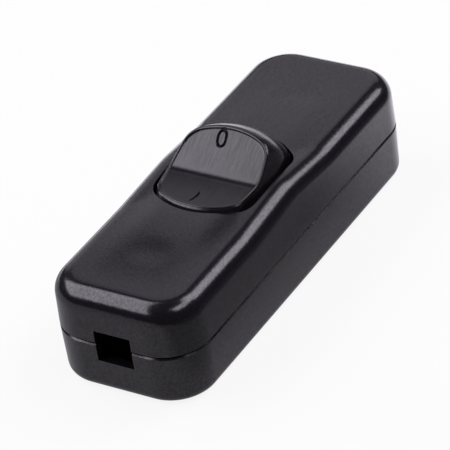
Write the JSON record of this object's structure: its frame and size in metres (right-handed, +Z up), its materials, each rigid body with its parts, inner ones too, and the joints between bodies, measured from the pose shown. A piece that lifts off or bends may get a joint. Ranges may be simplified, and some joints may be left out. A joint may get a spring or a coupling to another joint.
{
  "type": "inline cord switch",
  "caption": "Inline cord switch: rounded two-part plastic housing with a tilting rocker on top, square cord entries in the end walls and a spring-driven seesaw contact inside.",
  "frame": {"origin": "centre of the underside, on the surface the switch lies on", "axes": "+X along the cord, from the shown entry towards the far end; +Z up through the rocker; +Y across"},
  "size_m": [0.082, 0.0292, 0.0267],
  "materials": {
    "black_shell": "satin moulded black",
    "black_rocker": "satin moulded black",
    "black_inner": "moulded",
    "brass": "stamped",
    "silver_contact": "silver-plated",
    "spring_steel": "drawn wire",
    "zinc_steel": "zinc plated"
  },
  "bodies": {
    "housing": {"upper_shell": "black_shell", "lower_cover": "black_shell", "fixed_contact_tip": "silver_contact", "fulcrum_terminal": "brass", "contact_terminal": "brass", "neutral_link": "brass", "line_in_screw": "zinc_steel", "line_out_screw": "zinc_steel", "neutral_in_screw": "zinc_steel", "neutral_out_screw": "zinc_steel", "line_in_washer": "zinc_steel", "line_out_washer": "zinc_steel", "neutral_in_washer": "zinc_steel", "neutral_out_washer": "zinc_steel", "cord_clamp_near": "black_inner", "cord_clamp_far": "black_inner", "clamp_screws_near": "zinc_steel", "clamp_screws_far": "zinc_steel", "cover_screw_near": "zinc_steel", "cover_screw_far": "zinc_steel"},
    "rocker": {"rocker": "black_rocker", "drive_spring": "spring_steel"},
    "plunger": {"spring_plunger": "brass"},
    "blade": {"contact_blade": "brass", "moving_contact_tip": "silver_contact"}
  },
  "joints": [
    {"name": "rocker_hinge", "type": "hinge", "parent": "housing", "child": "rocker", "pos_m": [-0.0009, 0, 0.013], "axis": [0, 1, 0], "range_deg": [0, 36]},
    {"name": "plunger_slide", "type": "slide", "parent": "rocker", "child": "plunger", "axis": [-0.309, 0, 0.9511], "range_m": [0, 0.0008], "stiffness_N_per_m": 250, "deforming": ["drive_spring"]},
    {"name": "blade_hinge", "type": "hinge", "parent": "housing", "child": "blade", "pos_m": [-0.0009, 0, 0.0066], "axis": [0, 1, 0], "range_deg": [-14, 0]}
  ],
  "couplings": [
    {"joint": "blade_hinge", "follows": "rocker_hinge", "ratio": -0.3888}
  ]
}
